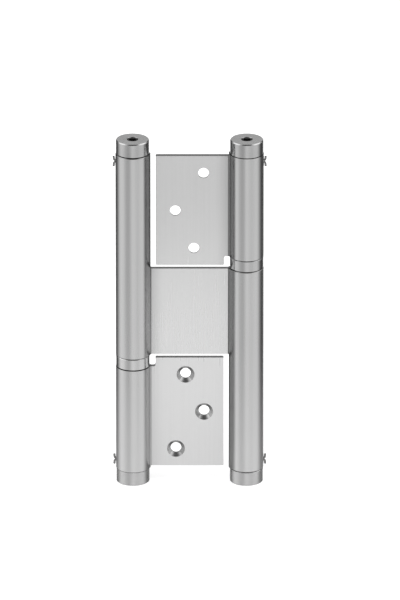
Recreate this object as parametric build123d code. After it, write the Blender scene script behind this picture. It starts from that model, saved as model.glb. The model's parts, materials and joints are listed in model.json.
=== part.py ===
from build123d import *
import os
from math import atan2, cos, degrees, floor, pi, radians, sin, sqrt

# Double action spring hinge for a swing door, closed, in millimetres.
# X runs across the door's thickness, -Y is the side the door stands on, Z is up.
# The origin is the middle of the base, under the centre plate.

# The door and the barrels
door_thickness = 43.0
door_clearance = 0.5
overall_height = 203.0
barrel_diameter = 19.0
sheet = 3.0

# How the sheet is rolled: the neck out of the plate, the roll, its straight tail and the seam
neck_bend = 1.5
seam_gap = 0.45
tail_angle = 33.0
root_step = 0.4
edge_break = 0.3

# Heights along a barrel, from the leaf's end
cap_height = 8.3
leaf_tube_length = 60.4
ring_height = 6.9
leaf_inset = 1.1
web_inset = 0.45

# The leaf's outline
leaf_end_gap = 3.2
notch_depth = 5.25
notch_reach = 12.5
notch_corner = 1.0
leaf_corner = 0.6

# Screw holes: one near the cap, one near the ring, and one by the free edge between them
screw_hole = 6.0
countersink = 9.9
screw_pitch = 22.2
cap_screw_reach = 23.85
ring_screw_reach = 29.2
edge_screw_margin = 10.85

# End caps, turned from bar, with a hex socket outside and a plug inside the barrel.
# The caps of the centre plate turn to set the springs, so they stand a little off its tubes.
cap_undersize = 0.25
cap_chamfer = 0.5
web_cap_gap = 0.3
leaf_cap_gap = 0.15
web_seam_chamfer = 0.35
leaf_seam_chamfer = 0.25
plug_length = 13.0
plug_clearance = 0.05
hex_flats = 5.0
hex_depth = 5.0
hex_lead_in = 0.4
cap_floor = 2.0

# Split pins that lock the caps
pin_level = 12.9
pin_wire = 1.2
pin_overlap = 0.08
pin_hole_clearance = 0.12
pin_tip_gap = 0.15
pin_stations = 4
leg_bend = 0.95
leg_turn = 86.0
leg_length = 1.6
bend_steps = 2
leg_stand_off = 0.03

# Spindle, its groove at one end and its cross hole at the other
spindle_diameter = 6.0
running_clearance = 0.05
spindle_end_gap = 0.3
spindle_chamfer = 0.4
groove_depth = 1.2
groove_width = 2.8

# Bearing ring and flanged bush between the two tubes, the flange let into the ring
ring_undersize = 0.15
ring_chamfer = 0.5
ring_gap = 0.15
spigot_length = 8.0
press_gap = 0.02
bush_length = 9.0
flange_thickness = 0.6
flange_width = 1.3
flange_clearance = 0.25
thrust_gap = 0.05

# Collar on the spindle that holds the lower end of the spring
collar_length = 9.0
collar_clearance = 0.3
collar_gap = 0.2
collar_pin_diameter = 2.0
collar_pin_level = 2.0

# Spring, coiled from flat wire, with a tang at each end that sits in a slot
wire_thickness = 1.8
wire_height = 4.6
coil_gap = 1.4
coil_clearance = 0.4
coil_end_gap = 0.3
tang_length = 4.5
tang_inset = 0.15
tang_half_angle = 12.0
slot_clearance = 0.2
chords_per_turn = 12

# Sizes that follow
barrel_radius = barrel_diameter / 2
bore_radius = barrel_radius - sheet
cap_radius = barrel_radius - cap_undersize
ring_radius = barrel_radius - ring_undersize
flange_radius = bore_radius + flange_width
barrel_spacing = door_thickness + 2 * door_clearance + barrel_diameter
half_spacing = barrel_spacing / 2
leaf_reach = barrel_spacing - barrel_radius - leaf_end_gap
root_reach = barrel_radius + root_step
leaf_tube_end = cap_height + leaf_tube_length
ring_top = leaf_tube_end + ring_height
ring_low = leaf_tube_end + ring_gap
flange_high = leaf_tube_end + flange_thickness
web_tube_end = overall_height - cap_height
leaf_low = cap_height + leaf_inset
leaf_high = leaf_tube_end + notch_depth
web_low = ring_top + web_inset
web_high = overall_height - web_low
plug_end = cap_height + plug_length
spindle_low = hex_depth + cap_floor + spindle_end_gap
spindle_high = overall_height - spindle_low
collar_low = ring_top + spigot_length + collar_gap
collar_high = collar_low + collar_length
coil_outer = bore_radius - coil_clearance
coil_inner = coil_outer - wire_thickness
coil_low = collar_high + coil_end_gap
coil_high = overall_height - plug_end - coil_end_gap
groove_radius = spindle_diameter / 2 - groove_depth
pin_tip = groove_radius + pin_tip_gap
pin_hole = 2 * pin_wire - pin_overlap + 2 * pin_hole_clearance

from_base = (Align.CENTER, Align.CENTER, Align.MIN)


def rod(diameter, low, high):
    """A round bar or bore on the barrel's axis, from one height to another."""
    return Pos(0, 0, low) * Cylinder(diameter / 2, high - low, align=from_base)


def cross_rod(diameter, start, end, level):
    """A round bar or bore along X, from one distance from the axis to another."""
    bar = Cylinder(diameter / 2, end - start, align=from_base)
    return Pos(start, 0, level) * Rot(0, 90, 0) * bar


def chamfered(body, size, end):
    """The body with the round edge at its lower (0) or upper (-1) end broken."""
    return chamfer(body.edges().group_by(Axis.Z)[end], size)


def turned_over(body):
    """The same piece on the other barrel: a half turn about the hinge's Y axis."""
    return body.rotate(Axis((0, 0, overall_height / 2), (0, 1, 0)), 180)


def on_left_barrel(body):
    return Pos(-half_spacing, 0, 0) * body


# The rolled sheet, seen from above

def reach_to_circle(start, angle, centre, radius):
    """How far a line from start at this angle runs before it first meets the circle."""
    to_start = (start[0] - centre[0], start[1] - centre[1])
    along = to_start[0] * cos(angle) + to_start[1] * sin(angle)
    off = to_start[0] ** 2 + to_start[1] ** 2 - radius**2
    return -along - sqrt(along**2 - off)


def polar(radius, angle):
    return (radius * cos(angle), radius * sin(angle))


def roll_section(reach):
    """Section of plate, swan neck, roll and tail, with the roll's axis at the origin."""
    neck_outer = neck_bend + sheet
    neck_middle = neck_bend + sheet / 2
    roll_middle = barrel_radius - sheet / 2
    neck_x = sqrt((roll_middle + neck_middle) ** 2 - neck_middle**2)
    neck_centre = (neck_x, neck_middle)
    neck_angle = atan2(neck_middle, neck_x)
    turn = 90 - degrees(neck_angle)
    roll_end = -radians(tail_angle)
    tail_way = radians(90) + roll_end
    roll_sweep = 360 - tail_angle - degrees(neck_angle)
    tail_outer = polar(barrel_radius, roll_end)
    tail_inner = polar(bore_radius, roll_end)
    clear = neck_outer + seam_gap
    tail = min(
        reach_to_circle(tail_outer, tail_way, neck_centre, clear),
        reach_to_circle(tail_inner, tail_way, neck_centre, clear),
    )
    step = polar(tail, tail_way)
    with BuildLine() as outline:
        back = CenterArc(neck_centre, neck_bend, 270, -turn)
        outer = CenterArc((0, 0), barrel_radius, degrees(neck_angle), roll_sweep)
        inner = CenterArc((0, 0), bore_radius, -tail_angle, -roll_sweep)
        front = CenterArc(neck_centre, neck_outer, 270 - turn, turn)
        outer_end = outer @ 1 + Vector(*step)
        inner_end = inner @ 0 + Vector(*step)
        Line(outer @ 1, outer_end)
        Line(outer_end, inner_end)
        Line(inner_end, inner @ 0)
        Polyline(front @ 1, (reach, -sheet / 2), (reach, sheet / 2), back @ 0)
    return make_face(outline.edges())


def rolled_sheet(reach, tube_low, tube_high, plate_low, plate_high):
    """A tube rolled on the edge of a plate that is shorter than the tube."""
    tube = Pos(0, 0, tube_low) * extrude(roll_section(reach), tube_high - tube_low)
    for low, high in ((tube_low, plate_low), (plate_high, tube_high)):
        if high > low:
            strip = Box(reach, 2 * sheet, high - low, align=(Align.MIN, Align.CENTER, Align.MIN))
            tube -= Pos(root_reach, 0, low) * strip
    return tube


def edge_cut(end, way):
    """What breaks the outer edge of a tube's end that faces up (1) or down (-1)."""
    slope = Cone(barrel_radius, barrel_radius - edge_break, edge_break, align=from_base)
    cut = rod(2 * (barrel_radius + sheet), 0, edge_break) - slope
    return Pos(0, 0, end) * Rot(90 - 90 * way, 0, 0) * Pos(0, 0, -edge_break) * cut


def rounded_corner(body, x, z, radius):
    """The plate with its corner at x, z rounded."""
    edges = body.edges().filter_by(Axis.Y).sort_by_distance((x, 0, z))
    return fillet(edges[0], radius)


# Sheet metal pieces

def centre_plate():
    """One sheet rolled at both edges: its left tube runs up and its right tube down."""
    half = rolled_sheet(half_spacing, ring_top, web_tube_end, web_low, web_high)
    half -= edge_cut(ring_top, -1) + edge_cut(web_tube_end, 1)
    half = on_left_barrel(half - lock_pin_hole(overall_height - pin_level))
    return half + turned_over(half)


def lock_pin_hole(level):
    """The hole through the tube's outer side that the split pin goes through."""
    return cross_rod(pin_hole, -barrel_diameter, 0, level)


def screw_cut(x, level, side):
    """A countersunk screw hole through the plate, its countersink in front (-1) or behind (1)."""
    depth = (countersink - screw_hole) / 2
    hole = Cylinder(screw_hole / 2, 2 * sheet)
    cone = Cone(screw_hole / 2, screw_hole / 2 + 2 * depth, 2 * depth, align=from_base)
    cut = hole + Pos(0, 0, sheet / 2 - depth) * cone
    return Pos(x, 0, level) * Rot(-90 * side, 0, 0) * cut


def leaf(side):
    """The left barrel's leaf, necked in front: a short tube, a notched plate, three screw holes."""
    body = rolled_sheet(leaf_reach, cap_height, leaf_tube_end, leaf_low, leaf_tube_end)
    body = mirror(body, about=Plane.XZ)
    corner = (Align.MIN, Align.CENTER, Align.MIN)
    flap = Box(leaf_reach - notch_reach, sheet, leaf_high - leaf_low, align=corner)
    body += Pos(notch_reach, 0, leaf_low) * flap
    body = rounded_corner(body, notch_reach, leaf_tube_end, notch_corner)
    for x, z in ((leaf_reach, leaf_low), (leaf_reach, leaf_high), (notch_reach, leaf_high)):
        body = rounded_corner(body, x, z, leaf_corner)
    middle = (leaf_low + leaf_high) / 2
    body -= screw_cut(cap_screw_reach, middle - screw_pitch, side)
    body -= screw_cut(leaf_reach - edge_screw_margin, middle, side)
    body -= screw_cut(ring_screw_reach, middle + screw_pitch, side)
    return body - lock_pin_hole(pin_level)


# Turned pieces

def tang_slot(end, way):
    """The slot in an end face that a spring tang sits in, open to the outside."""
    inner = coil_inner + tang_inset - slot_clearance
    half_width = coil_outer * sin(radians(tang_half_angle)) + slot_clearance
    depth = tang_length + coil_end_gap + slot_clearance
    slot = Box(barrel_radius, 2 * half_width, 2 * depth, align=(Align.MIN, Align.CENTER, Align.CENTER))
    return Pos(0, 0, end) * Rot(0, 0, way) * Pos(inner, 0, 0) * slot


def end_cap(gap, seam_chamfer):
    """The cap at a barrel's lower end: rim, plug, hex socket, spindle bore and pin stations."""
    rim = rod(2 * cap_radius, 0, cap_height - gap)
    rim = chamfered(rim, cap_chamfer, 0)
    rim = chamfered(rim, seam_chamfer, -1)
    cap = rim + rod(2 * (bore_radius - plug_clearance), cap_height - gap, plug_end)
    cap -= extrude(RegularPolygon(hex_flats / 2, 6, major_radius=False), hex_depth)
    corner = hex_flats / sqrt(3)
    cap -= Cone(corner + hex_lead_in, corner - hex_lead_in, 2 * hex_lead_in, align=from_base)
    cap -= rod(spindle_diameter + 2 * running_clearance, hex_depth + cap_floor, plug_end)
    for station in range(pin_stations // 2):
        drill = cross_rod(pin_hole, -barrel_radius, barrel_radius, pin_level)
        cap -= Rot(0, 0, station * 360 / pin_stations) * drill
    return cap - tang_slot(plug_end, 90)


def spindle():
    """The bar down the barrel: pinned to the leaf's cap, and running in a groove in the other."""
    bar = rod(spindle_diameter, spindle_low, spindle_high)
    bar = chamfered(bar, spindle_chamfer, 0)
    bar = chamfered(bar, spindle_chamfer, -1)
    groove_middle = overall_height - pin_level
    low, high = groove_middle - groove_width / 2, groove_middle + groove_width / 2
    bar -= rod(2 * spindle_diameter, low, high) - rod(2 * groove_radius, low, high)
    bar -= cross_rod(pin_hole, -spindle_diameter, spindle_diameter, pin_level)
    reach = bore_radius - collar_clearance
    return bar - cross_rod(collar_pin_diameter, -reach, reach, collar_low + collar_pin_level)


def bearing_ring():
    """The ring between the tubes, with a spigot pressed into the centre plate's tube."""
    ring = chamfered(rod(2 * ring_radius, ring_low, ring_top), ring_chamfer, 0)
    ring = chamfered(ring, ring_chamfer, -1)
    ring += rod(2 * (bore_radius - press_gap), ring_top, ring_top + spigot_length)
    ring -= rod(2 * (flange_radius + flange_clearance), ring_low, flange_high + thrust_gap)
    return ring - rod(spindle_diameter + 2 * running_clearance, ring_low, ring_top + spigot_length)


def bush():
    """The flanged bush in the leaf's tube, whose flange takes the ring's thrust."""
    low = leaf_tube_end - bush_length
    body = rod(2 * (bore_radius - press_gap), low, leaf_tube_end)
    body += rod(2 * flange_radius, leaf_tube_end, flange_high)
    return body - rod(spindle_diameter + 2 * press_gap, low, flange_high)


def collar():
    """The collar pinned to the spindle, slotted for the spring's lower tang."""
    reach = bore_radius - collar_clearance
    body = rod(2 * reach, collar_low, collar_high)
    body -= rod(spindle_diameter + 2 * press_gap, collar_low, collar_high)
    body -= cross_rod(collar_pin_diameter, -reach, reach, collar_low + collar_pin_level)
    return body - tang_slot(collar_high, 90)


def collar_pin():
    """The cross pin through collar and spindle, a little short of the collar's width."""
    reach = bore_radius - 2 * collar_clearance
    diameter = collar_pin_diameter - 2 * press_gap
    return cross_rod(diameter, -reach, reach, collar_low + collar_pin_level)


# Spring and wire pieces

def facet(*corners):
    """A flat face between these corners."""
    return Face(Wire.make_polygon(corners))


def spring(left_handed):
    """A torsion spring of flat wire, bent in short chords, from the collar to the far cap."""
    rise = coil_high - coil_low - wire_height
    chords = chords_per_turn * floor(rise / (wire_height + coil_gap))
    step = (-2 if left_handed else 2) * pi / chords_per_turn
    section = (
        (coil_outer, coil_low),
        (coil_outer, coil_low + wire_height),
        (coil_inner, coil_low + wire_height),
        (coil_inner, coil_low),
    )
    rings = []
    for i in range(chords + 1):
        rings.append([(*polar(radius, step * i), low + rise * i / chords) for radius, low in section])
    facets = [facet(*rings[0]), facet(*rings[-1])]
    for here, there in zip(rings, rings[1:]):
        for corner in range(4):
            facets.append(facet(here[corner - 1], here[corner], there[corner]))
            facets.append(facet(here[corner - 1], there[corner], there[corner - 1]))
    coil = Solid(Shell(facets))
    outer = coil_outer - tang_inset
    inner = coil_inner + tang_inset
    wedge = Triangle(a=4 * outer, B=90 - tang_half_angle, C=90 - tang_half_angle)
    wedge = Rot(0, 0, 90) * Pos(0, -wedge.vertices().sort_by(Axis.Y)[-1].Y, 0) * wedge
    tang = (Circle(outer) - Circle(inner)) & wedge
    for low, high in (
        (coil_low - tang_length, coil_low + wire_height / 2),
        (coil_high - wire_height / 2, coil_high + tang_length),
    ):
        coil += Pos(0, 0, low) * extrude(tang, high - low)
    return Rot(0, 0, 90) * coil


def lock_pin():
    """A split pin along -X: two wires side by side, with their legs bent apart outside."""
    offset = (pin_wire - pin_overlap) / 2
    bend_start = barrel_radius + leg_stand_off
    corners = [(pin_tip, 0, offset)]
    for step in range(bend_steps + 1):
        turned = radians(leg_turn * step / bend_steps)
        x, z = leg_bend * sin(turned), leg_bend * (1 - cos(turned))
        corners.append((bend_start + x, 0, offset + z))
    x, z = polar(leg_length, radians(leg_turn))
    corners.append((corners[-1][0] + x, 0, corners[-1][2] + z))
    section = Plane(corners[0], z_dir=(1, 0, 0)) * Circle(pin_wire / 2)
    wire = sweep(section, path=Polyline(*corners), transition=Transition.RIGHT)
    both = wire + mirror(wire, about=Plane.XY)
    return Pos(0, 0, pin_level) * Rot(0, 0, 180) * both


# Every piece in its place

def barrel_pieces():
    """The left barrel's pieces. Its leaf end is the lower one, and its web end the upper one."""
    over = Axis((0, 0, overall_height / 2), (0, 1, 0))
    pin = lock_pin()
    return {
        "{side}_{leaf_end}_cap": end_cap(leaf_cap_gap, leaf_seam_chamfer),
        "{side}_{web_end}_cap": end_cap(web_cap_gap, web_seam_chamfer).rotate(over, 180),
        "{side}_{leaf_end}_lock_pin": pin,
        "{side}_{web_end}_lock_pin": mirror(pin, about=Plane.XY.offset(overall_height / 2)),
        "{side}_bearing_ring": bearing_ring(),
        "{side}_bush": bush(),
        "{side}_spindle": spindle(),
        "{side}_spring_collar": collar(),
        "{side}_collar_pin": collar_pin(),
    }


pieces = {
    "centre_plate": centre_plate(),
    "lower_leaf": on_left_barrel(leaf(-1)),
    "upper_leaf": turned_over(on_left_barrel(leaf(1))),
    "left_spring": on_left_barrel(spring(True)),
    "right_spring": turned_over(on_left_barrel(spring(False))),
}
for name, body in barrel_pieces().items():
    left = on_left_barrel(body)
    pieces[name.format(side="left", leaf_end="bottom", web_end="top")] = left
    pieces[name.format(side="right", leaf_end="top", web_end="bottom")] = turned_over(left)

os.makedirs("parts", exist_ok=True)
for name, body in pieces.items():
    export_step(body, f"parts/{name}.step")
    print(name, round(body.volume), "mm3")
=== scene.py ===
# %% [markdown]
# # A double action spring hinge in brushed stainless steel
#
# The imported CAD model is a fixed frame: every plate, tube, cap, ring and pin is already
# there, in metres, standing on its two lower caps with Z up and the viewer at -Y.
# This lesson dresses it. First comes the camera, then the studio, then one finish for
# each kind of metal. Last come the two kinds of piece that are bent from wire, the lock
# pins and the springs, which are modelled again.

# %% Load the frame
import json
from math import cos, pi, radians, sin

import bmesh
import bpy
from mathutils import Matrix, Vector


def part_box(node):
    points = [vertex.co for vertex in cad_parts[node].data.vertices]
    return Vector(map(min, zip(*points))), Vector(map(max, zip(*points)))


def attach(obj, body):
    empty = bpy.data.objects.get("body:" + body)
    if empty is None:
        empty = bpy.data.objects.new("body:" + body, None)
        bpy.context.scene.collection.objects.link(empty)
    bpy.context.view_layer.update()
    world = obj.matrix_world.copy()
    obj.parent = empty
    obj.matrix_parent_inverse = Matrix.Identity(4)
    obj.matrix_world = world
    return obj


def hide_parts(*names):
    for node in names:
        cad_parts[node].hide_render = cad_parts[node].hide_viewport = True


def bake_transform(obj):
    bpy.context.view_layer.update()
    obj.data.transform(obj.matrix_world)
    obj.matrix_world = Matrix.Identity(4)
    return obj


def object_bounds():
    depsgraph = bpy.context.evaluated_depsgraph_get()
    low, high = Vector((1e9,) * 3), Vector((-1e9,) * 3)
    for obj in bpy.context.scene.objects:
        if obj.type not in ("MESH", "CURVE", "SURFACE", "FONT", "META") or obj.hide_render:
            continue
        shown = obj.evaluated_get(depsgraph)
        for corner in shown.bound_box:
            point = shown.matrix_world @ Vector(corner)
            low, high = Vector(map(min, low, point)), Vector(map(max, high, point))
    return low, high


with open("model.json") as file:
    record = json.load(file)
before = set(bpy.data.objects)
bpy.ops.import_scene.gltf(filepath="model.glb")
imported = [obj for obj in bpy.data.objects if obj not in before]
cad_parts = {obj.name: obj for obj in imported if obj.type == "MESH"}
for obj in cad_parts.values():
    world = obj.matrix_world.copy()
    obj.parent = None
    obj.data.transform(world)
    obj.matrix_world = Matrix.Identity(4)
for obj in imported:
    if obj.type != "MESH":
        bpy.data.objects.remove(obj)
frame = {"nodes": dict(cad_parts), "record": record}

MM = 0.001
cad_low, cad_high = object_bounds()
nodes = frame["nodes"]
print(f"{len(nodes)} nodes, {(cad_high.z - cad_low.z) / MM:.1f} mm tall")

# %% [markdown]
# ## The camera
#
# A catalogue picture of hardware is taken with a long lens from far away, so that the
# two barrels stay parallel. The caps show their tops, and the height of those ellipses
# gives the camera's elevation. A camera object could track an empty, but a direction
# turned into a rotation needs no extra object, so that is used here.

# %% Camera
CAMERA_ELEVATION = radians(21.6)
CAMERA_DISTANCE = 8.0
CAMERA_LENS = 867.0
AIM_RIGHT = 5.7 * MM
AIM_UP = 5.7 * MM

to_camera = Vector((0, -cos(CAMERA_ELEVATION), sin(CAMERA_ELEVATION)))
picture_up = Vector((0, sin(CAMERA_ELEVATION), cos(CAMERA_ELEVATION)))
aim = (cad_low + cad_high) / 2 + Vector((AIM_RIGHT, 0, 0)) + AIM_UP * picture_up

scene = bpy.context.scene
camera = bpy.data.objects.new("camera", bpy.data.cameras.new("camera"))
scene.collection.objects.link(camera)
camera.data.lens = CAMERA_LENS
camera.data.sensor_width = 36.0
camera.data.clip_end = 100.0
camera.location = aim + CAMERA_DISTANCE * to_camera
camera.rotation_euler = (-to_camera).to_track_quat("-Z", "Y").to_euler()
scene.camera = camera
scene.view_settings.view_transform = "Standard"
print(f"camera {CAMERA_DISTANCE} m away, lens {CAMERA_LENS} mm")

# %% [markdown]
# ## A shorthand for shader nodes
#
# A finish is a small program made of nodes. Written node by node it is hard to read, so
# two helpers carry the whole file. `Value` wraps one output socket and turns + - * / and
# comparisons into Math nodes, also where the plain number comes first. `Recipe.node`
# makes any other node: its settings first, because some of them change the sockets, and
# then what goes into its sockets.

# %% Values and recipes
class Value:
    """One number per point of a surface, which plain arithmetic works on."""

    def __init__(self, recipe, socket):
        self.recipe = recipe
        self.socket = socket

    def math(self, operation, *inputs):
        settings = {"operation": operation}
        return self.recipe.node("ShaderNodeMath", settings, dict(enumerate(inputs)))[0]

    def __add__(self, other):
        return self.math("ADD", self, other)

    def __radd__(self, other):
        return self.math("ADD", other, self)

    def __sub__(self, other):
        return self.math("SUBTRACT", self, other)

    def __rsub__(self, other):
        return self.math("SUBTRACT", other, self)

    def __mul__(self, other):
        return self.math("MULTIPLY", self, other)

    def __rmul__(self, other):
        return self.math("MULTIPLY", other, self)

    def __truediv__(self, other):
        return self.math("DIVIDE", self, other)

    def __rtruediv__(self, other):
        return self.math("DIVIDE", other, self)

    def __pow__(self, other):
        return self.math("POWER", self, other)

    def __abs__(self):
        return self.math("ABSOLUTE", self)

    def least(self, other):
        return self.math("MINIMUM", self, other)

    def most(self, other):
        return self.math("MAXIMUM", self, other)

    def rise(self, start, end):
        """0 below start, 1 above end, and a soft step between them."""
        settings = {"interpolation_type": "SMOOTHSTEP"}
        inputs = {"Value": self, "From Min": start, "From Max": end, "To Min": 0.0, "To Max": 1.0}
        return self.recipe.node("ShaderNodeMapRange", settings, inputs)[0]


class Recipe:
    """A node tree being filled in."""

    def __init__(self, tree):
        self.tree = tree
        tree.nodes.clear()

    def node(self, kind, settings=None, inputs=None):
        """Adds a node, sets it up, feeds its sockets and gives back its outputs as values."""
        made = self.tree.nodes.new(kind)
        for name, setting in (settings or {}).items():
            if name == "stops":
                self.set_stops(made.color_ramp, setting)
            else:
                setattr(made, name, setting)
        for name, source in (inputs or {}).items():
            if isinstance(source, Value):
                self.tree.links.new(source.socket, made.inputs[name])
            else:
                made.inputs[name].default_value = source
        return {
            key: Value(self, socket)
            for index, socket in enumerate(made.outputs)
            for key in (index, socket.name)
        }

    @staticmethod
    def set_stops(ramp, stops):
        """Stops are pairs of a place from 0 to 1 and a colour or a grey."""
        while len(ramp.elements) > 1:
            ramp.elements.remove(ramp.elements[-1])
        for index, (place, colour) in enumerate(stops):
            stop = ramp.elements[0] if index == 0 else ramp.elements.new(place)
            stop.position = place
            stop.color = (*colour, 1) if isinstance(colour, tuple) else (colour, colour, colour, 1)

    def mix(self, factor, first, second):
        """One colour where the factor is 0, another where it is 1."""
        inputs = {0: factor, 6: first, 7: second}
        return self.node("ShaderNodeMix", {"data_type": "RGBA"}, inputs)[2]

    def split(self, vector):
        parts = self.node("ShaderNodeSeparateXYZ", None, {0: vector})
        return parts[0], parts[1], parts[2]


def grey(level, warmth=0.0):
    """A colour near grey, a little warmer where warmth is above 0."""
    return (level * (1 + warmth), level, level * (1 - warmth), 1)


print("shader shorthand ready")

# %% [markdown]
# ## The studio
#
# Polished and brushed metal has hardly any colour of its own: what we see on it is the
# room. A photographer puts hardware in a white tent and hangs dark flags beside it, and
# those flags are the dark bands along the edges of the barrels. Real cards could be
# modelled, but a world that gives each direction its brightness is simpler, and the same
# tent then works for every viewing angle. Only glossy rays see it. The camera sees
# white, and everything else gets an even, plain light.

# %% World
TENT_FRONT = 0.87
TENT_SIDE = 0.93
TENT_BACK = 0.80
CARD_GAP = 0.52
FLAG = 0.08
SOFTBOX = 1.60
OVERHEAD = 0.09
AMBIENT = 0.75

world = bpy.data.worlds.new("studio")
scene.world = world
world.use_nodes = True
tent = Recipe(world.node_tree)


def turn(angle):
    """A bearing in degrees from the camera, positive to the right, as a place on the ramp."""
    return 0.5 + angle / 360


direction = tent.node("ShaderNodeTexCoord")["Generated"]
across, away, upward = tent.split(direction)
bearing = across.math("ARCTAN2", across, 0 - away) / (2 * pi) + 0.5
around = tent.node("ShaderNodeValToRGB", {"stops": [
    (turn(-180), TENT_BACK),
    (turn(-158), TENT_BACK),
    (turn(-150), FLAG),
    (turn(-128), FLAG),
    (turn(-112), 0.45 * TENT_SIDE),
    (turn(-98), 0.85 * TENT_SIDE),
    (turn(-87), TENT_SIDE),
    (turn(-64), 0.92 * TENT_SIDE),
    (turn(-47), 1.2 * CARD_GAP),
    (turn(-30), CARD_GAP),
    (turn(-17), 0.7 * TENT_FRONT),
    (turn(-5), TENT_FRONT),
    (turn(8), TENT_FRONT),
    (turn(22), 0.88 * TENT_FRONT),
    (turn(37), 1.4 * CARD_GAP),
    (turn(50), 0.88 * TENT_SIDE),
    (turn(75), 0.92 * TENT_SIDE),
    (turn(87), 0.68 * TENT_SIDE),
    (turn(98), 0.35 * TENT_SIDE),
    (turn(110), FLAG),
    (turn(144), FLAG),
    (turn(154), TENT_BACK),
    (turn(180), TENT_BACK),
]}, {0: bearing})["Color"]
high = tent.node("ShaderNodeValToRGB", {"stops": [
    (turn(-180), TENT_BACK),
    (turn(-130), SOFTBOX),
    (turn(-80), SOFTBOX),
    (turn(-45), OVERHEAD),
    (turn(45), OVERHEAD),
    (turn(80), SOFTBOX),
    (turn(130), SOFTBOX),
    (turn(180), TENT_BACK),
]}, {0: bearing})["Color"]
around = tent.mix(upward.rise(0.1, 0.35) * 0.4, around, grey(0.0))
walls = tent.mix(upward.rise(0.42, 0.62), around, high)
ceiling = tent.mix(upward.rise(0.86, 0.95), walls, grey(OVERHEAD))
rays = tent.node("ShaderNodeLightPath")
seen = tent.mix(rays["Is Glossy Ray"], grey(AMBIENT), ceiling)
seen = tent.mix(rays["Is Camera Ray"], seen, grey(1.0))
light = tent.node("ShaderNodeBackground", None, {"Color": seen, "Strength": 1.0})
tent.node("ShaderNodeOutputWorld", None, {"Surface": light["Background"]})
print("world ready")

# %% [markdown]
# ## Floor and lamps
#
# The floor is plain and pale. Metal that stands on it would mirror all of it, so glossy
# rays pass through the floor and see the tent instead, as if the tent went on below. One
# broad lamp above and a weaker one on the left give the soft shadow.

# %% Floor and lamps
FLOOR_SIZE = 12.0
FLOOR_GREY = 0.86
FLOOR_GLOW = 0.45

floor_mesh = bpy.data.meshes.new("floor")
floor_shape = bmesh.new()
bmesh.ops.create_grid(floor_shape, x_segments=1, y_segments=1, size=FLOOR_SIZE / 2)
floor_shape.to_mesh(floor_mesh)
floor_shape.free()
floor = bpy.data.objects.new("floor", floor_mesh)
scene.collection.objects.link(floor)
floor.visible_glossy = False
paper = bpy.data.materials.new("paper")
paper.use_nodes = True
sheet_of_paper = Recipe(paper.node_tree)
seen_by = sheet_of_paper.node("ShaderNodeLightPath")
glow = sheet_of_paper.mix(seen_by["Is Camera Ray"], grey(0.0), grey(FLOOR_GLOW))
matt = sheet_of_paper.node("ShaderNodeBsdfPrincipled", None, {
    "Base Color": grey(FLOOR_GREY), "Roughness": 0.9, "Specular IOR Level": 0.0,
    "Emission Color": glow, "Emission Strength": 1.0})
sheet_of_paper.node("ShaderNodeOutputMaterial", None, {"Surface": matt["BSDF"]})
floor_mesh.materials.append(paper)


def soft_lamp(name, place, size, power):
    """A square lamp that looks at the middle of the hinge."""
    lamp = bpy.data.objects.new(name, bpy.data.lights.new(name, "AREA"))
    scene.collection.objects.link(lamp)
    lamp.data.shape = "SQUARE"
    lamp.data.size = size
    lamp.data.energy = power
    lamp.location = place
    lamp.rotation_euler = (aim - Vector(place)).to_track_quat("-Z", "Y").to_euler()
    lamp.visible_glossy = False


soft_lamp("lamp_above", (0.3, -0.5, 2.2), 1.6, 22.0)
soft_lamp("lamp_left", (-1.8, -1.2, 1.4), 1.2, 8.0)
print("floor and two lamps ready")

# %% [markdown]
# ## Finishes that follow the barrels
#
# Both barrels stand at the same distance from the middle, so the distance from the
# nearer barrel's axis comes from the absolute value of x. One recipe then draws turning
# marks and end darkening on every cap and ring, left or right, top or bottom.

# %% Shared measures on a surface
BARREL_X = (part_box("left_bottom_cap")[0].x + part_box("left_bottom_cap")[1].x) / -2
HEIGHT = cad_high.z - cad_low.z


def new_material(name):
    material = bpy.data.materials.new(name)
    material.use_nodes = True
    return material, Recipe(material.node_tree)


def noise(recipe, place, scale, stretch, detail=2.0):
    """Soft noise, about scale spots to the metre, longer where stretch is small."""
    settings = {"operation": "MULTIPLY"}
    spread = recipe.node("ShaderNodeVectorMath", settings, {0: place, 1: stretch})[0]
    inputs = {"Vector": spread, "Scale": scale, "Detail": detail, "Roughness": 0.6}
    return recipe.node("ShaderNodeTexNoise", None, inputs)[0]


def soft_edges(recipe, radius):
    """A normal that rounds every sharp edge by this radius."""
    return recipe.node("ShaderNodeBevel", {"samples": 6}, {"Radius": radius})["Normal"]


def bump(recipe, height, depth, normal):
    """A normal that follows a height from 0 to 1, this deep in metres."""
    inputs = {"Height": height, "Distance": depth, "Strength": 1.0, "Normal": normal}
    return recipe.node("ShaderNodeBump", None, inputs)["Normal"]


def finish_metal(recipe, colour, roughness, normal, metallic=1.0):
    """Ends a recipe with one surface, all mirror where metallic is 1 and matt where it is 0."""
    surface = recipe.node("ShaderNodeBsdfPrincipled", None, {
        "Base Color": colour, "Metallic": metallic, "Roughness": roughness, "Normal": normal})
    recipe.node("ShaderNodeOutputMaterial", None, {"Surface": surface["BSDF"]})


print(f"barrel axes at x = {BARREL_X / MM:.2f} mm on both sides")
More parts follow.
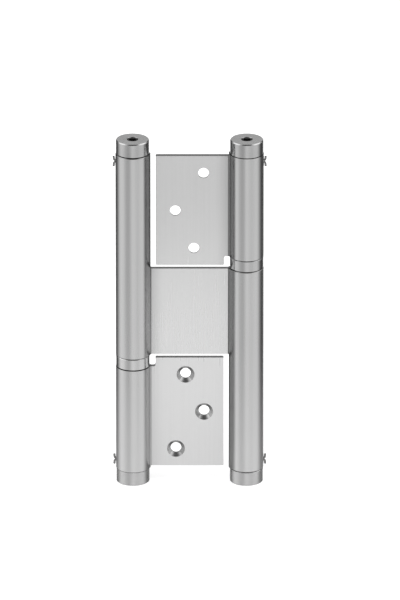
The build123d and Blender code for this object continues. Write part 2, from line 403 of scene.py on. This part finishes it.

# %% [markdown]
# ## Brushed sheet
#
# The leaves and the web plate are rolled from stainless sheet that was brushed before it
# was cut, so fine streaks run along the barrels, while the sheared edges and the mouths
# of the holes are rougher or brighter. A photographed texture could be wrapped on, but
# it would smear where the sheet rolls into a tube. Noise that is stretched along Z in
# the object's own space has no seams. The facing of the surface tells a cut edge from a
# face, and the distance from the barrel finds the inner corner beside it, where two
# walls of metal mirror each other and look darker: that is painted shade in the colour.
# The cut edges are drawn darker too, partly for their dull cut and partly as painted
# shade, and painted light makes plates and barrels paler towards the foot. Real brushing
# scatters light sideways. An anisotropic surface would do that too, but on the flat faces
# a share of matt light is enough, and it keeps the plates pale from every side.

# %% Brushed sheet
NECK_END = (10.3 * MM, 10.5 * MM)
CORNER_SHADE_WIDTH = (5.4 * MM, 7.8 * MM)
CORNER_PAINTED_SHADE = 0.58
SHEARED_TONE_AND_SHADE = 0.70
NECK_SHADE = (14 * MM, 24 * MM)
WEB_TOP = (127.5 * MM, 129 * MM)
LEAF_TOP = (70 * MM, 80 * MM)
BARREL_GREY = 0.60
BARREL_FOOT_PAINTED_LIGHT = 0.10
PLATE_GREY = 0.755
PLATE_SCATTER = 0.45
BARREL_SCATTER = 0.22
FLOOR_REACH = (10 * MM, 90 * MM)


def brushed_sheet():
    """Stainless sheet brushed along the barrels, with darker sheared edges."""
    material, recipe = new_material("brushed_sheet")
    at = recipe.node("ShaderNodeTexCoord")
    place, facing = at["Object"], at["Normal"]
    x, y, z = recipe.split(place)
    _, forward, up = recipe.split(facing)
    streaks = noise(recipe, place, 700.0, (1, 1, 0.02))
    grain = noise(recipe, place, 4200.0, (1, 1, 0.01))
    clouds = noise(recipe, place, 30.0, (1, 1, 0.6))
    on_plate = 1 - abs(x).rise(BARREL_X - NECK_END[1], BARREL_X - NECK_END[0])

    # The walls of holes and the upright edges of the plates face away from the front
    flatness = abs(forward)
    cut = on_plate * (1 - flatness.rise(0.85, 0.95))
    sheared = (cut * (1 - flatness.rise(0.3, 0.5))).most(abs(up).rise(0.5, 0.9))

    # Painted shade: the inner corner of a barrel is darkest beside its plate, softer at the foot
    corner = (BARREL_X - abs(x)).rise(*CORNER_SHADE_WIDTH) * (1 - on_plate)
    corner = corner * (0.5 + 0.5 * (z + x * 3).rise(20 * MM, 90 * MM))

    # A plate gets darker towards its neck, which is on the right on the upper leaf only
    neck_side = x * (2 * z.rise(*WEB_TOP) - 1)
    neck_shade = neck_side.rise(*NECK_SHADE) * (0.1 + 0.14 * z.rise(*LEAF_TOP))

    # Painted light: plates and barrels both get paler towards the foot, the plates darker at the
    # top
    foot = 1 - z / HEIGHT
    round_level = BARREL_GREY + foot * BARREL_FOOT_PAINTED_LIGHT
    flat_level = PLATE_GREY + z.rise(10 * MM, 60 * MM) * 0.02 - z.rise(75 * MM, 185 * MM) * 0.165
    flat_level = flat_level * (1 - neck_shade)
    level = round_level + on_plate * (flat_level - round_level)
    level = level + (streaks - 0.5) * 0.06 + (clouds - 0.5) * 0.04
    # Cut edges are darker for their dull cut and for painted shade; the corners for painted shade
    level = level * (1 - sheared * SHEARED_TONE_AND_SHADE) * (1 - corner * CORNER_PAINTED_SHADE)
    colour = recipe.mix(level, grey(0.0), grey(1.0))

    roughness = 0.22 + foot * 0.1 + (streaks - 0.5) * 0.1
    roughness = roughness + sheared * 0.15 - (cut - sheared).most(0) * 0.08
    normal = bump(recipe, grain, 0.005 * MM, soft_edges(recipe, 0.12 * MM))

    # Brushing a flat face scatters light widely, so a share of it is drawn as matt. So is
    # the foot of each barrel, whose dark bands are filled with light from the pale floor.
    near_floor = 1 - z.rise(*FLOOR_REACH)
    scatter = (on_plate - cut) * PLATE_SCATTER + (1 - on_plate) * near_floor * BARREL_SCATTER
    finish_metal(recipe, colour, roughness, normal, 1 - scatter)
    return material


print("brushed sheet ready")

# %% [markdown]
# ## Turned steel
#
# The caps and the thin rings come from the lathe, and the tool leaves fine circles on
# their ends and lines round their sides. One wave does both: it runs over the distance
# from the barrel's axis where the surface is flat, and over the height where it stands
# upright. Bands of different materials could be used instead, but then every cap would
# need its own. The socket in each cap is made darker, because little light gets in.

# %% Turned steel
LATHE_FEED = 0.35 * MM
SOCKET_RADIUS = (3.2 * MM, 3.4 * MM)
RING_EXTRA_GREY = 0.03
RING_FOOT_PAINTED_LIGHT = 0.09
CAP_GREY = 0.55
CAP_FOOT_PAINTED_LIGHT = 0.03
CAP_SCATTER = 0.3
CAP_FLOOR_REACH = (10 * MM, 60 * MM)


def turned_steel():
    """Caps and rings from the lathe: rings on their ends, fine lines round their sides."""
    material, recipe = new_material("turned_steel")
    at = recipe.node("ShaderNodeTexCoord")
    place, facing = at["Object"], at["Normal"]
    x, y, z = recipe.split(place)
    _, _, up = recipe.split(facing)
    sideways = abs(x) - BARREL_X
    radius = (sideways * sideways + y * y) ** 0.5
    end = z.least(HEIGHT - z)
    flat = abs(up).rise(0.6, 0.9)
    path = radius * flat + z * (1 - flat)
    lines = path.math("SINE", path * (2 * pi / LATHE_FEED))
    clouds = noise(recipe, place, 160.0, (1, 1, 1))
    socket = (1 - radius.rise(*SOCKET_RADIUS)) * end.rise(0.04 * MM, 0.2 * MM)

    # Rings are far from both ends. Like the sheet, the pieces get paler downwards as painted light
    on_ring = end.rise(40 * MM, 60 * MM)
    foot = 1 - z.rise(60 * MM, 140 * MM)
    extra = on_ring * (RING_EXTRA_GREY + foot * RING_FOOT_PAINTED_LIGHT)
    level = CAP_GREY + foot * CAP_FOOT_PAINTED_LIGHT + extra
    level = level + (clouds - 0.5) * 0.08 + lines * 0.015 - socket * 0.45
    colour = recipe.mix(level, grey(0.0), grey(1.0))
    roughness = 0.18 + (clouds - 0.5) * 0.08 + flat * 0.08 + socket * 0.3
    normal = bump(recipe, lines * 0.5 + 0.5, 0.004 * MM, soft_edges(recipe, 0.08 * MM))
    near_floor = 1 - z.rise(*CAP_FLOOR_REACH)
    finish_metal(recipe, colour, roughness, normal, 1 - near_floor * CAP_SCATTER)
    return material


print("turned steel ready")

# %% [markdown]
# ## Plain bar, wire and spring steel
#
# Spindles, collars, lock pins and springs are drawn through a die, which leaves no marks
# worth drawing, only a slight mottling. They differ in how bright and how smooth they
# are, so one recipe takes both as numbers: bright ground bar, duller wire, and the dark,
# slightly brown skin of oil-hardened springs. The bushes are moulded plastic, the only
# thing here that isn't metal, so they get a short recipe of their own.

# %% Plain bar, wire and spring steel
def drawn_steel(name, level, roughness, mottling, warmth=0.0):
    """Bar or wire as drawn: no pattern but a little mottling."""
    material, recipe = new_material(name)
    place = recipe.node("ShaderNodeTexCoord")["Object"]
    spots = noise(recipe, place, 900.0, (1, 1, 0.5), detail=3.0)
    colour = recipe.mix(level + (spots - 0.5) * mottling, grey(0.0), grey(1.0, warmth))
    normal = bump(recipe, spots, 0.01 * MM, soft_edges(recipe, 0.05 * MM))
    finish_metal(recipe, colour, roughness + (spots - 0.5) * 0.15, normal)
    return material


def bush_polymer():
    """Dark bearing plastic with a faint moulded mottle."""
    material, recipe = new_material("bush_polymer")
    place = recipe.node("ShaderNodeTexCoord")["Object"]
    spots = noise(recipe, place, 1500.0, (1, 1, 1))
    colour = recipe.mix(spots, grey(0.02), grey(0.05))
    normal = bump(recipe, spots, 0.01 * MM, soft_edges(recipe, 0.05 * MM))
    finish_metal(recipe, colour, 0.45 + (spots - 0.5) * 0.2, normal, metallic=0.0)
    return material


finishes = {
    "brushed_sheet": brushed_sheet(),
    "turned_steel": turned_steel(),
    "pin_wire": drawn_steel("pin_wire", level=0.31, roughness=0.34, mottling=0.12),
    "bright_steel": drawn_steel("bright_steel", level=0.66, roughness=0.18, mottling=0.06),
    "spring_steel": drawn_steel(
        "spring_steel", level=0.16, roughness=0.36, mottling=0.08, warmth=0.06),
    "bush_polymer": bush_polymer(),
}
for part in frame["record"]["subparts"]:
    for slot in nodes[part["node"]].material_slots:
        slot.material = finishes[part["material_slot"]]
print(f"{len(finishes)} finishes on {len(nodes)} nodes")

# %% [markdown]
# ## The lock pins
#
# On the real hinge a split pin goes through barrel and cap, and its two legs are bent
# apart by hand, so that it can't fall out. The CAD model bends them in a few straight
# steps. Here the wire is drawn again and stays round all through the bend: a circle is
# pushed along the shank, spun round the bend and pushed along the leg. A curve with a
# bevel would be quicker, but it would leave no say over the cut end, which is rounded.

# %% Lock pins
PIN_WIRE = 1.2 * MM
PIN_OVERLAP = 0.08 * MM
PIN_BEND = 0.78 * MM
PIN_TURN = radians(84)
PIN_LEG = 1.75 * MM
CUT_ROUNDING = 0.2 * MM
WIRE_SIDES = 20
BEND_STEPS = 10
TUBE_RADIUS = (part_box("centre_plate")[1].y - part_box("centre_plate")[0].y) / 2


def pushed(shape, ring, step):
    """Draws a ring of edges out by this step, and gives back the ring at the far end."""
    made = bmesh.ops.extrude_edge_only(shape, edges=ring)["geom"]
    corners = [part for part in made if isinstance(part, bmesh.types.BMVert)]
    bmesh.ops.translate(shape, verts=corners, vec=step)
    return [part for part in made if isinstance(part, bmesh.types.BMEdge) and part.is_boundary]


def wire(shape, tip, bend_start, up):
    """One wire of a pin, from its tip along X, then bent up (1) or down (-1)."""
    side = 1 if bend_start.x > tip.x else -1
    section = Matrix.Translation(tip) @ Matrix.Rotation(pi / 2, 4, "Y")
    made = bmesh.ops.create_circle(shape, segments=WIRE_SIDES, radius=PIN_WIRE / 2, matrix=section)
    first = list({edge for corner in made["verts"] for edge in corner.link_edges})
    ring = pushed(shape, first, bend_start - tip)
    centre = bend_start + Vector((0, 0, up * PIN_BEND))
    made = bmesh.ops.spin(
        shape, geom=ring, cent=centre, axis=(0, 1, 0),
        angle=-side * up * PIN_TURN, steps=BEND_STEPS)
    ring = [part for part in made["geom_last"] if isinstance(part, bmesh.types.BMEdge)]
    way = Vector((side * cos(PIN_TURN), 0, up * sin(PIN_TURN)))
    last = pushed(shape, ring, PIN_LEG * way)
    caps = bmesh.ops.holes_fill(shape, edges=first + last)["faces"]
    rims = [edge for cap in caps for edge in cap.edges]
    bmesh.ops.bevel(
        shape, geom=rims, affect="EDGES", offset=CUT_ROUNDING, segments=3, profile=0.5, material=-1)


def finished(shape, name, finish, node):
    """Makes an object of a shape, gives it its finish and puts it in a CAD node's place."""
    bmesh.ops.recalc_face_normals(shape, faces=shape.faces)
    mesh = bpy.data.meshes.new(name)
    shape.to_mesh(mesh)
    shape.free()
    mesh.materials.append(finishes[finish])
    piece = bpy.data.objects.new(name, mesh)
    scene.collection.objects.link(piece)
    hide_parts(node)
    print(name, len(mesh.polygons), "faces")
    return piece


def lock_pin(name, node, body):
    """A pin with two wires in the place of a CAD pin."""
    low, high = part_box(node)
    side = 1 if low.x > 0 else -1
    tip_x = low.x if side > 0 else high.x
    level = (low.z + high.z) / 2
    shape = bmesh.new()
    for up in (-1, 1):
        height = level + up * (PIN_WIRE - PIN_OVERLAP) / 2
        tip = Vector((tip_x, 0, height))
        wire(shape, tip, Vector((side * (BARREL_X + TUBE_RADIUS), 0, height)), up)
    pin = finished(shape, name, "pin_wire", node)
    pin.data.shade_smooth()
    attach(pin, body)


for body, body_nodes in frame["record"]["behaviour"]["bodies"].items():
    for node in body_nodes:
        if node.endswith("lock_pin"):
            lock_pin(node.replace("lock_pin", "split_pin"), node, body)

# %% [markdown]
# ## The springs
#
# Inside each long tube a spring of flat wire is coiled round the spindle. One tang sits
# in the collar, which stays with the leaf, and the other in the cap of the centre plate,
# so the coil has to twist as the hinge swings. A screw modifier on a square would make
# the coil too, but in a plain mesh the tangs are easier to add: here a flat bar is spun
# round the axis while it climbs.

# %% Springs
SPRING_WIRE = 1.8 * MM
SPRING_HEIGHT = 4.6 * MM
SPRING_PITCH = 6.0 * MM
TANG_LENGTH = 4.5 * MM
TANG_INSET = 0.15 * MM
TANG_HALF = radians(12)
STEPS_PER_TURN = 32
TANG_STEPS = 4


def bar_round_axis(shape, inner, outer, low, high, start, angle, steps, climb=0.0):
    """A bar of square section that runs round the Z axis, closed at both ends."""
    section = ((inner, low), (outer, low), (outer, high), (inner, high))
    corners = [
        shape.verts.new((radius * cos(start), radius * sin(start), z)) for radius, z in section]
    end = shape.faces.new(corners)
    bmesh.ops.spin(
        shape, geom=[end, *end.edges, *corners], cent=(0, 0, 0), axis=(0, 0, 1),
        dvec=(0, 0, climb / steps), angle=angle, steps=steps)


def torsion_spring(side, handed):
    """The coil of one barrel with its two tangs, which face the wall behind (+Y)."""
    node = f"{side}_spring"
    low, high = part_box(node)
    outer = (high.y - low.y) / 2
    inner = outer - SPRING_WIRE
    coil_low, coil_high = low.z + TANG_LENGTH, high.z - TANG_LENGTH
    climb = coil_high - coil_low - SPRING_HEIGHT
    turns = int(climb // SPRING_PITCH)
    shape = bmesh.new()
    bar_round_axis(shape, inner, outer, coil_low, coil_low + SPRING_HEIGHT, pi / 2,
                   handed * turns * 2 * pi, turns * STEPS_PER_TURN, climb)
    for tang_low, tang_high in (
        (low.z, coil_low + SPRING_HEIGHT / 2), (coil_high - SPRING_HEIGHT / 2, high.z)):
        bar_round_axis(shape, inner + TANG_INSET, outer - TANG_INSET, tang_low, tang_high,
                       pi / 2 - TANG_HALF, 2 * TANG_HALF, TANG_STEPS)
    axis_x = (low.x + high.x) / 2
    bmesh.ops.translate(shape, verts=shape.verts, vec=(axis_x, 0, 0))
    spring = finished(shape, f"{side}_torsion_spring", "spring_steel", node)
    collar_z = (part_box(f"{side}_spring_collar")[0].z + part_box(f"{side}_spring_collar")[1].z) / 2
    ends = sorted((coil_low, coil_high), key=lambda z: abs(z - collar_z))
    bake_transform(spring)


torsion_spring("left", -1)
torsion_spring("right", 1)

# %% [markdown]
# ## The end
#
# The new pieces should fill the CAD model's box and no more. This cell only prints that
# the script has run.

# %% The end
print("done")
